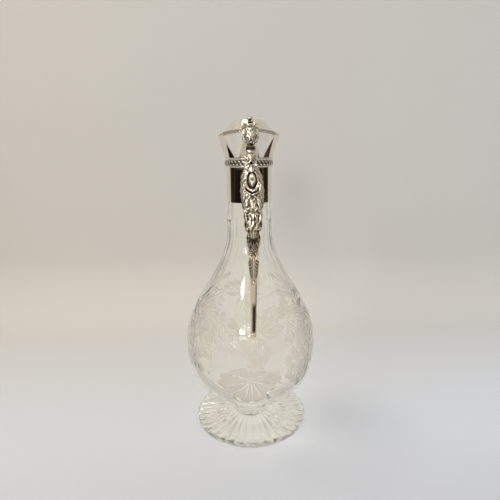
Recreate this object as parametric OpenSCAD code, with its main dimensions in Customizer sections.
// Claret jug: blown glass body on a cut foot, with a silver mount, hinged lid and cast handle.
// Millimetres, +Z up. The origin is the centre of the foot's underside. The handle is at -Y,
// the pouring lip at +Y.

/* [Foot] */
// Radius of the foot
foot_r = 55.8; // [46:0.2:66]
// Height of the foot's edge
foot_edge_h = 5; // [3.5:0.1:7]
// Height of the foot's middle, where it meets the bowl
foot_h = 10.5; // [9:0.5:14]
// Radius of the waist where the foot meets the bowl
stem_r = 17.5; // [12:0.5:22]
// Number of radial cuts in the foot
foot_cuts = 36; // [12:1:40]
// Depth of a radial cut at the foot's edge
foot_cut_depth = 1.8; // [0.5:0.1:2.4]

/* [Glass body] */
// Radius of the bowl at its widest
bowl_r = 63.2; // [52:0.2:78]
// Height from the bowl's bottom to its widest circle
bowl_low_h = 75.5; // [60:0.5:92]
// Height from the widest circle to the start of the neck
shoulder_h = 108; // [88:1:132]
// Outside radius of the glass neck
neck_r = 21.3; // [20.5:0.1:26]
// Length of the neck that shows below the collar
neck_h = 28.7; // [22:0.1:36]
// Thickness of the blown wall
glass_wall = 3.4; // [2:0.1:4.5]
// Thickness of the glass at the bottom of the bowl
glass_base = 7; // [5:0.5:10]
// Thickness of the neck inside the collar
neck_wall = 3; // [2:0.1:4]
// Number of flutes cut round the neck
neck_flutes = 14; // [8:1:18]
// Depth of a neck flute
flute_depth = 0.7; // [0.3:0.1:1]

/* [Collar and bands] */
// Outside radius of the plain collar
collar_r = 20.9; // [19:0.1:24]
// Thickness of the collar's sheet
collar_wall = 0.7; // [0.4:0.1:1.2]
// Height of the plain collar below the bands
collar_h = 31.4; // [24:0.2:40]
// Thickness of the plaster bed between collar and glass
cement_t = 0.5; // [0.3:0.1:1]
// Height of the fillet wire under the rope band
lower_fillet_h = 1.5; // [1:0.1:2.5]
// Height of the rope band
rope_h = 4.6; // [3:0.1:6]
// Height of the fillet wire over the rope band
upper_fillet_h = 2.3; // [1.2:0.1:3]
// How far the rope band stands out from the collar
rope_proud = 1.5; // [1:0.1:2.2]
// Number of strands round the rope band
rope_strands = 38; // [24:1:44]

/* [Mouth] */
// Radius of the mouth at the rim
mouth_r = 27.6; // [25:0.1:33]
// Height of the flare at the sides of the mouth
flare_h = 16.8; // [13:0.2:21]
// Length of the pouring lip past the round mouth
lip_len = 14.7; // [8:0.1:20]
// Radius of the saddle curve of the rim, seen from the side
saddle_r = 108; // [90:1:150]
// Thickness of the mouth's sheet
mouth_wall = 0.8; // [0.5:0.1:1.2]
// Height of the rim wire
rim_wire_h = 2; // [1.2:0.1:2.6]
// Radius of the opening in the mouth's floor
mouth_hole_r = 16.6; // [12:0.1:17]

/* [Lid and hinge] */
// Height of the lid's flat top above the rim at the sides
lid_rise = 14.1; // [11:0.1:18]
// Thickness of the lid's sheet
lid_wall = 1.2; // [0.8:0.1:1.6]
// Clearance between the lid and the rim
lid_gap = 0.3; // [0.2:0.05:0.5]
// Width of the flat border round the raised lid
lid_border = 3.2; // [2:0.1:4]
// Depth of the locating rim under the lid
bezel_depth = 2.6; // [1.5:0.1:3.5]
// Clearance between the locating rim and the mouth
bezel_gap = 0.9; // [0.8:0.1:1.5]
// Radius of the hinge knuckles
knuckle_r = 1.75; // [1.5:0.05:2.2]
// Radius of the hinge pin
pin_r = 0.9; // [0.6:0.05:1]
// Radial running clearance of the lid's knuckle on the pin
pin_play = 0.07; // [0.03:0.01:0.1]
// Length of the whole hinge barrel
barrel_len = 14; // [12:0.1:18]
// Length of the lid's knuckle
lid_knuckle_len = 5.4; // [4:0.1:7]
// Radius of the thumb button
button_r = 2.4; // [1.8:0.1:2.6]
// Height of the thumb button
button_h = 3.3; // [2.5:0.1:4.5]

/* [Handle] */
// Half width of the head under the hinge
head_half_w = 7; // [6:0.1:8]
// Height of the head
head_h = 15.6; // [12:0.1:17]
// Radius of the ringed neck
ring_r = 4.9; // [4.3:0.1:5.6]
// Half width of the scroll at its widest leaf
scroll_half_w = 9.7; // [8:0.1:11]
// How far the handle bows out past its tip
handle_bow = 10.6; // [6:0.2:16]
// Height of the tip above the bowl's widest circle
tip_rise = 28.5; // [18:0.5:36]
// Radius of the ball at the tip
ball_r = 2.3; // [1.8:0.1:3]
// Clearance between the ball and the glass
tip_gap = 0.8; // [0.5:0.1:2]

/* [Hidden] */

$fn = 96;
glass = "lightcyan";
silver = "silver";
eps = 0.02; // clearance of soldered faces
bore_over = 1; // how far a cutter runs past the face it cuts

// Heights, from the table up
bowl_z = foot_h + bowl_low_h;
neck_z = bowl_z + shoulder_h;
collar_z = neck_z + neck_h;
lower_fillet_z = collar_z + collar_h;
rope_z = lower_fillet_z + lower_fillet_h;
upper_fillet_z = rope_z + rope_h;
mouth_z = upper_fillet_z + upper_fillet_h;
rim_z = mouth_z + flare_h; // top of the flare's sheet at the sides of the mouth

// Radii
neck_top_r = collar_r - collar_wall - cement_t;
bore_r = neck_top_r - neck_wall;
mouth_base_r = collar_r + rope_proud * 0.7;

// A cubic curve through four control points, as n + 1 points
function bezier(p, n) = [for (i = [0:n]) let (t = i / n, s = 1 - t)
    s * s * s * p[0] + 3 * s * s * t * p[1] + 3 * s * t * t * p[2] + t * t * t * p[3]];

// ---- Glass -------------------------------------------------------------------------------

// Outside of the bowl and neck, as [radius, height] from the stem up to the collar
bowl_low = bezier([[stem_r, foot_h], [0.6 * stem_r + 0.52 * bowl_r, foot_h + 0.352 * bowl_low_h],
    [bowl_r, bowl_z - 0.604 * bowl_low_h], [bowl_r, bowl_z]], 14);
bowl_high = bezier([[bowl_r, bowl_z], [bowl_r, bowl_z + 0.415 * shoulder_h],
    [neck_r, neck_z - 0.344 * shoulder_h], [neck_r, neck_z]], 16);
neck_low_z = neck_z + 0.3 * neck_h;
neck_curve = bezier([[neck_r, neck_low_z], [neck_r, neck_z + 0.6 * neck_h],
    [neck_top_r + 0.4, collar_z - 0.3 * neck_h], [neck_top_r, collar_z]], 6);
bowl_outside = concat([for (i = [0:13]) bowl_low[i]], bowl_high);
glass_outside = concat(bowl_outside, neck_curve);

// The radius of the glass at a height
glass_by_z = [for (p = glass_outside) [p[1], p[0]]];
function glass_r_at(z) = lookup(z, glass_by_z);

// A profile point moved inward along the wall's normal
function inset(p, i, d) = let (
        a = p[max(0, i - 1)],
        b = p[min(len(p) - 1, i + 1)],
        t = (b - a) / norm(b - a))
    p[i] - d * [t[1], -t[0]];

module glass_body() {
    inner = [for (i = [0:len(bowl_outside) - 1]) inset(bowl_outside, i, glass_wall)];
    floor_z = foot_h + glass_base;
    cavity = [for (p = inner) if (p[1] > floor_z + 0.5) p];
    profile = concat([[0, foot_h]], glass_outside,
        [[neck_top_r, mouth_z - eps], [bore_r, mouth_z - eps], [bore_r, collar_z]],
        [for (i = [len(cavity) - 1:-1:0]) cavity[i]],
        [[0, floor_z]]);
    // Flutes run up the neck, leaning with it
    flute_r = 6;
    flute_low_z = neck_z - 0.25 * shoulder_h;
    flute_top_z = neck_z + 0.45 * neck_h;
    low_r = glass_r_at(flute_low_z) + flute_r - flute_depth;
    top_r = glass_r_at(flute_top_z) + flute_r - flute_depth;
    lean = atan((low_r - top_r) / (flute_top_z - flute_low_z));
    color(glass) difference() {
        rotate_extrude() polygon(profile);
        for (i = [0:neck_flutes - 1]) rotate([0, 0, (i + 0.5) * 360 / neck_flutes])
            translate([low_r, 0, flute_low_z]) rotate([0, -lean, 0])
                cylinder(r = flute_r, h = (flute_top_z - flute_low_z) / cos(lean), $fn = 48);
    }
}

module glass_foot() {
    top = bezier([[stem_r, foot_h], [stem_r + 1, foot_h - 2.4],
        [stem_r + 12, foot_edge_h + 1.8], [foot_r - 1.5, foot_edge_h]], 12);
    profile = concat([[0, 0], [foot_r - 1.2, 0], [foot_r, 1.4], [foot_r, foot_edge_h - 1.6]],
        [for (i = [12:-1:0]) top[i]], [[0, foot_h]]);
    cut_start = stem_r + 4;
    cut_len = foot_r - cut_start + bore_over;
    start_z = foot_edge_h + 2;
    drop = start_z - foot_edge_h + foot_cut_depth;
    cut_r = 3;
    color(glass) difference() {
        rotate_extrude() polygon(profile);
        for (i = [0:foot_cuts - 1]) rotate([0, 0, i * 360 / foot_cuts])
            translate([cut_start, 0, start_z + cut_r]) rotate([0, 90 + atan(drop / cut_len), 0])
                cylinder(r = cut_r, h = norm([cut_len, drop]) + bore_over, $fn = 4);
    }
}

module cement_ring() {
    color("white") translate([0, 0, collar_z + 1]) difference() {
        cylinder(r = collar_r - collar_wall, h = mouth_z - collar_z - 1 - eps);
        translate([0, 0, -bore_over])
            cylinder(r = neck_top_r + eps, h = mouth_z - collar_z + 2 * bore_over);
    }
}

// ---- Collar and bands --------------------------------------------------------------------

module collar_sleeve() {
    color(silver) translate([0, 0, collar_z]) difference() {
        cylinder(r = collar_r, h = mouth_z - collar_z);
        translate([0, 0, -bore_over])
            cylinder(r = collar_r - collar_wall, h = mouth_z - collar_z + 2 * bore_over);
    }
}

// A plain wire of rounded section lying on the collar
module fillet_wire(z, h, proud) {
    flat_h = 0.3 * h;
    color(silver) translate([0, 0, z]) rotate_extrude()
        polygon([[collar_r, 0], [collar_r + 0.5 * proud, 0], [collar_r + proud, flat_h],
            [collar_r + proud, h - flat_h], [collar_r + 0.5 * proud, h], [collar_r, h]]);
}

module lower_fillet() {
    fillet_wire(lower_fillet_z, lower_fillet_h, 0.5 * rope_proud);
}

module upper_fillet() {
    fillet_wire(upper_fillet_z, upper_fillet_h, 0.85 * rope_proud);
}

// The faces of a ring of closed sections, wound outwards: n sections of m points
function ring_faces(n, m) = [for (i = [0:n - 1], k = [0:m - 1]) let (
        a = i * m + k,
        b = i * m + (k + 1) % m,
        c = ((i + 1) % n) * m + (k + 1) % m,
        d = ((i + 1) % n) * m + k)
    each [[a, b, c], [a, c, d]]];

// A closed ring through equal sections
module ring_loft(sections) {
    n = len(sections);
    m = len(sections[0]);
    polyhedron([for (s = sections) each s], ring_faces(n, m));
}

// A point by angle from the pouring lip, radius and height
function around(a, r, z) = [r * sin(a), r * cos(a), z];

module rope_band() {
    steps = 6 * rope_strands;
    rows = 5;
    mid_z = rope_z + rope_h / 2;
    slant = 0.8; // strands leaned over by this share of their pitch, bottom to top
    sections = [for (i = [0:steps - 1]) let (a = 360 * i / steps) concat(
        [around(a, collar_r, rope_z + rope_h), around(a, collar_r, rope_z)],
        [for (j = [0:rows - 1]) let (
                s = j / (rows - 1) * 2 - 1,
                swell = 0.35 + 0.65 * sqrt(1 - 0.9 * s * s),
                strand = 0.82 + 0.18 * cos(rope_strands * a + 180 * slant * s))
            around(a, collar_r + rope_proud * swell * strand, mid_z + 0.5 * s * rope_h)])];
    color(silver) ring_loft(sections);
}

// ---- Mouth -------------------------------------------------------------------------------

mouth_steps = 72;

// Radius of the mouth's outline by angle from the lip, and the saddle rim's height there
function rim_r(a) = mouth_r + lip_len * pow(max(0, cos(a)), 3);
function saddle_z(y) = rim_z + y * y / (2 * saddle_r);
function rim_top_z(a) = saddle_z(rim_r(a) * cos(a));

// Share of the way out that the flare has come at a share of the way up
function flare_share(u) = 0.74 * u + 0.26 * u * u;

module flared_mouth() {
    rows = 7;
    floor_t = 1;
    sections = [for (i = [0:mouth_steps - 1]) let (
            a = 360 * i / mouth_steps,
            h = rim_top_z(a) - mouth_z)
        concat(
            [for (k = [0:rows]) let (u = k / rows)
                around(a, mouth_base_r + (rim_r(a) - mouth_base_r) * flare_share(u), mouth_z + h * u)],
            [for (k = [rows:-1:1]) let (u = k / rows)
                around(a, mouth_base_r - mouth_wall + (rim_r(a) - mouth_base_r) * flare_share(u),
                    mouth_z + h * u)],
            [around(a, mouth_base_r - mouth_wall, mouth_z + floor_t),
                around(a, mouth_hole_r, mouth_z + floor_t),
                around(a, mouth_hole_r, mouth_z)])];
    color(silver) ring_loft([for (s = sections) [for (k = [len(s) - 1:-1:0]) s[k]]]);
}

wire_out = 0.35; // how far the rim wire stands out from the sheet

// A point that follows the saddle rim: by angle, distance inward of the outline, and lift
function saddle_pt(a, inward, lift) = let (r = rim_r(a) - inward)
    around(a, r, saddle_z(r * cos(a)) + lift);

module rim_wire() {
    inside = mouth_wall + 0.3;
    sections = [for (i = [0:mouth_steps - 1]) let (a = 360 * i / mouth_steps)
        [saddle_pt(a, inside, rim_wire_h), saddle_pt(a, 0, rim_wire_h),
            saddle_pt(a, -wire_out, 0.7 * rim_wire_h), saddle_pt(a, -wire_out, 0.3 * rim_wire_h),
            saddle_pt(a, 0, eps), around(a, rim_r(a) - inside, rim_top_z(a) + eps)]];
    color(silver) ring_loft(sections);
}

// ---- Lid ---------------------------------------------------------------------------------

lid_mid_y = lip_len / 2; // middle of the egg-shaped outline
lid_base_lift = rim_wire_h + lid_gap; // underside of the lid above the saddle curve
lid_top_z = rim_z + rim_wire_h + lid_rise;
lid_overhang = 0.5; // how far the lid's edge stands out past the sheet of the mouth
top_scale_x = 0.513; // the flat top's width and length as shares of the outline
top_scale_y = 0.62;

// Rings of the lid by angle: the border, and the flat top
function border_pt(a, inward, lift) = saddle_pt(a, inward, lid_base_lift + lift);
function top_pt(a, inward, z) = let (r = rim_r(a) - inward)
    [r * sin(a) * top_scale_x, lid_mid_y + (r * cos(a) - lid_mid_y) * top_scale_y, z];

// A closed skin: rings from a first centre point out and back to a last centre point
module skin(first, rings, last) {
    n = len(rings[0]);
    last_i = 1 + len(rings) * n;
    polyhedron(
        concat([first], [for (r = rings) each r], [last]),
        concat(
            [for (k = [0:n - 1]) [0, 1 + (k + 1) % n, 1 + k]],
            [for (j = [0:len(rings) - 2], k = [0:n - 1]) let (
                    a = 1 + j * n + k,
                    b = 1 + j * n + (k + 1) % n)
                each [[a, b, b + n], [a, b + n, a + n]]],
            [for (k = [0:n - 1]) [last_i, last_i - n + k, last_i - n + (k + 1) % n]]));
}

module lid_cover() {
    angles = [for (i = [0:mouth_steps - 1]) 360 * i / mouth_steps];
    color(silver) skin(
        [0, lid_mid_y, lid_top_z],
        [
            [for (a = angles) top_pt(a, 0, lid_top_z)],
            [for (a = angles) border_pt(a, lid_border, lid_wall)],
            [for (a = angles) border_pt(a, -lid_overhang, lid_wall)],
            [for (a = angles) border_pt(a, -lid_overhang, 0)],
            [for (a = angles) border_pt(a, lid_border + 0.6 * lid_wall, 0)],
            [for (a = angles) top_pt(a, 1.4 * lid_wall, lid_top_z - lid_wall)],
        ],
        [0, lid_mid_y, lid_top_z - lid_wall]);
}

module lid_bezel() {
    bezel_t = 0.8;
    inward = mouth_wall + bezel_gap;
    draw_in = 0.7; // the rim narrows downwards
    sections = [for (i = [0:mouth_steps - 1]) let (a = 360 * i / mouth_steps)
        [border_pt(a, inward + bezel_t, -eps), border_pt(a, inward + bezel_t + draw_in, -bezel_depth),
            border_pt(a, inward + draw_in, -bezel_depth), border_pt(a, inward, -eps)]];
    color(silver) ring_loft(sections);
}

// ---- Hinge -------------------------------------------------------------------------------

back_rim_z = saddle_z(mouth_r) + rim_wire_h; // top of the rim wire at the back
hinge_y = -(mouth_r + 2.9);
hinge_z = back_rim_z + lid_gap + lid_wall + knuckle_r + 0.8;
plate_out_y = -(mouth_r + 2.2);
knuckle_gap = 0.25; // side gap of the lid's knuckle

// A round bar across the jug on the hinge axis
module barrel(r, x0, x1) {
    translate([x0, hinge_y, hinge_z]) rotate([0, 90, 0]) cylinder(r = r, h = x1 - x0, $fn = 48);
}

module hinge_lugs() {
    inner_x = lid_knuckle_len / 2 + knuckle_gap;
    half = barrel_len / 2;
    plate_low_z = back_rim_z - 6;
    color(silver) difference() {
        union() {
            for (side = [-1, 1]) {
                barrel(knuckle_r, side > 0 ? inner_x : -half, side > 0 ? half : -inner_x);
                translate([side > 0 ? inner_x : -half, plate_out_y, plate_low_z])
                    cube([half - inner_x, -plate_out_y - mouth_r + 2, hinge_z - plate_low_z]);
            }
            translate([-half, plate_out_y, plate_low_z])
                cube([barrel_len, -plate_out_y - mouth_r + 2, back_rim_z - plate_low_z - 0.6]);
        }
        barrel(pin_r + eps, -half - bore_over, half + bore_over);
        // Room for the rim wire below and for the lid's edge above it
        translate([0, 0, plate_low_z - bore_over])
            cylinder(r = mouth_r + wire_out + eps, h = back_rim_z - plate_low_z + bore_over + 0.05);
        translate([0, 0, back_rim_z - 0.25])
            cylinder(r = mouth_r + lid_overhang + 0.4, h = hinge_z);
    }
}

module hinge_pin() {
    half = barrel_len / 2;
    color(silver) barrel(pin_r, -half - 0.3, half + 0.3);
}

module lid_knuckle() {
    half = lid_knuckle_len / 2;
    strap_z = saddle_z(mouth_r + lid_overhang) + lid_base_lift + lid_wall + eps;
    strap_end_y = -(mouth_r - lid_border);
    color(silver) difference() {
        union() {
            barrel(knuckle_r, -half, half);
            translate([-half, hinge_y, strap_z])
                cube([lid_knuckle_len, strap_end_y - hinge_y, hinge_z - 0.4 * knuckle_r - strap_z]);
        }
        barrel(pin_r + pin_play, -half - bore_over, half + bore_over);
    }
}

thumb_y = hinge_y + 0.8;
collar_step_h = 1.3;
thumb_z = hinge_z + knuckle_r + 0.35; // underside of the step, clear of the fixed knuckles

module thumb_collar() {
    foot_z = hinge_z;
    step_r = button_r + 0.6;
    low_r = lid_knuckle_len / 2 - 0.1;
    rise = thumb_z - foot_z;
    color(silver) difference() {
        translate([0, thumb_y, foot_z]) rotate_extrude($fn = 48)
            polygon([[0, 0], [low_r, 0], [low_r, rise], [step_r, rise], [step_r, rise + 0.4],
                [step_r - 0.3, rise + 0.8], [button_r * 0.6, rise + collar_step_h],
                [0, rise + collar_step_h]]);
        barrel(knuckle_r + eps, -barrel_len, barrel_len);
    }
}

module thumb_button() {
    z0 = thumb_z + collar_step_h;
    color(silver) translate([0, thumb_y, z0]) rotate_extrude($fn = 48)
        polygon([[0, 0], [button_r * 0.6, 0], [button_r * 0.6, 0.2 * button_h],
            [button_r, 0.4 * button_h], [button_r, 0.7 * button_h],
            [button_r * 0.75, 0.9 * button_h], [button_r * 0.3, button_h], [0, button_h]]);
}

// ---- Handle ------------------------------------------------------------------------------

// A tube along a path in the YZ plane, with a half width across the jug and a half
// thickness in the plane at each point, and a direction for each end
module tube_yz(path, half_w, half_t, sides, first_dir, last_dir) {
    n = len(path);
    rings = [for (i = [0:n - 1]) let (
            d = i == 0 ? first_dir : i == n - 1 ? last_dir : path[i + 1] - path[i - 1],
            t = d / norm(d))
        [for (k = [0:sides - 1]) let (w = 360 * k / sides)
            [half_w[i] * cos(w),
                path[i][0] + half_t[i] * sin(w) * t[1],
                path[i][1] - half_t[i] * sin(w) * t[0]]]];
    skin([0, path[0][0], path[0][1]], rings, [0, path[n - 1][0], path[n - 1][1]]);
}

head_y = plate_out_y - 5.6;
head_low_z = hinge_z - knuckle_r - 0.4 - head_h;
neck_top = [head_y - 1.5, head_low_z - eps];
neck_foot = [neck_top[0] - 0.75, mouth_z + 0.6];
tip_z = bowl_z + tip_rise;
tip = [-(glass_r_at(tip_z) + tip_gap + ball_r), tip_z];
reach_y = tip[0] - handle_bow;
bow_z = tip_z + 0.51 * (neck_foot[1] - tip_z);
neck_dir = neck_foot - neck_top;
down = [0, -1];
scroll_start = [neck_foot[0], neck_foot[1] - eps];
scroll_path = bezier([scroll_start, scroll_start + 1.7 * neck_dir,
    [reach_y, bow_z + 0.66 * (scroll_start[1] - bow_z)], [reach_y, bow_z]], 24);
tail_path = bezier([[reach_y, bow_z - eps], [reach_y, bow_z - 0.4 * (bow_z - tip_z)],
    [tip[0] - 0.5 * handle_bow, tip_z + 0.26 * (bow_z - tip_z)], tip], 24);

// Half widths of the scroll by share of its length, from the neck to the tail
scroll_w = [[0, 0.56], [0.08, 0.64], [0.2, 0.92], [0.32, 1], [0.46, 0.96], [0.58, 0.8], [0.72, 0.68],
    [0.84, 0.5], [1, 0.43]];
tail_w = [[0, 1.8], [0.25, 1.6], [0.45, 1.2], [0.8, 1.1], [0.95, 0.9]];

bracket_w = 9.2;

// Half thickness of the scroll from its half width
function scroll_half_t(w) = 0.42 * w + 2.1;

module handle_bracket() {
    low_z = lower_fillet_z + 0.4;
    high_z = mouth_z - 0.4;
    lean = atan(neck_dir[0] / neck_dir[1]);
    end_y = scroll_start[0] + scroll_half_t(scroll_half_w * scroll_w[0][1]) + 0.1;
    start_r = collar_r + rope_proud + 0.05;
    cutter = 40; // a box that clears the whole bracket
    color(silver) difference() {
        translate([-bracket_w / 2, neck_foot[0], low_z])
            cube([bracket_w, -neck_foot[0] - start_r + 2, high_z - low_z]);
        translate([0, 0, low_z - bore_over]) cylinder(r = start_r, h = high_z - low_z + 2 * bore_over);
        // The outer end is cut along the inner side of the scroll
        translate([0, end_y, scroll_start[1]]) rotate([-lean, 0, 0])
            translate([-cutter / 2, -cutter, -cutter / 2]) cube(cutter);
    }
}

module handle_head() {
    n = 12;
    path = [for (i = [0:n]) [head_y, head_low_z + head_h * (cos(15) - cos(15 + 160 * i / n)) / (cos(15) - cos(175))]];
    grow = [for (i = [0:n]) sin(20 + 155 * i / n)];
    color(silver) tube_yz([for (i = [n:-1:0]) path[i]],
        [for (i = [n:-1:0]) head_half_w * grow[i]],
        [for (i = [n:-1:0]) 5.5 * grow[i]], 20, down, down);
}

module handle_neck() {
    axis = neck_top - neck_foot;
    len = norm(axis);
    profile = [[0, 0], [0.95, 0], [1, 0.05], [1, 0.12], [0.8, 0.19], [0.82, 0.27], [0.99, 0.34],
        [0.99, 0.49], [0.84, 0.57], [0.76, 0.68], [0.8, 0.84], [0.84, 1], [0, 1]];
    color(silver) translate([0, neck_foot[0], neck_foot[1]])
        rotate([-atan2(axis[0], axis[1]), 0, 0]) rotate_extrude($fn = 64)
            polygon([for (p = profile) [p[0] * ring_r, p[1] * len]]);
}

module handle_scroll() {
    n = len(scroll_path) - 1;
    w = [for (i = [0:n]) scroll_half_w * lookup(i / n, scroll_w)];
    color(silver) tube_yz(scroll_path, w, [for (i = [0:n]) scroll_half_t(w[i])], 20, neck_dir, down);
}

module handle_tail() {
    n = len(tail_path) - 1;
    // The last points swell into the ball
    stem = [for (i = [0:n - 2]) tail_path[i]];
    along = (tail_path[n] - tail_path[n - 2]) / norm(tail_path[n] - tail_path[n - 2]);
    ball = [for (w = [50:20:170]) tail_path[n] - along * ball_r * cos(w)];
    stem_w = [for (i = [0:n - 2]) ball_r * lookup(i / n, tail_w)];
    ball_w = [for (w = [50:20:170]) ball_r * sin(w)];
    color(silver) tube_yz(concat(stem, ball), concat(stem_w, ball_w), concat(stem_w, ball_w), 16,
        down, along);
}

glass_body();
glass_foot();
cement_ring();
collar_sleeve();
lower_fillet();
rope_band();
upper_fillet();
flared_mouth();
rim_wire();
hinge_lugs();
hinge_pin();
handle_bracket();
handle_head();
handle_neck();
handle_scroll();
handle_tail();
lid_cover();
lid_bezel();
lid_knuckle();
thumb_collar();
thumb_button();
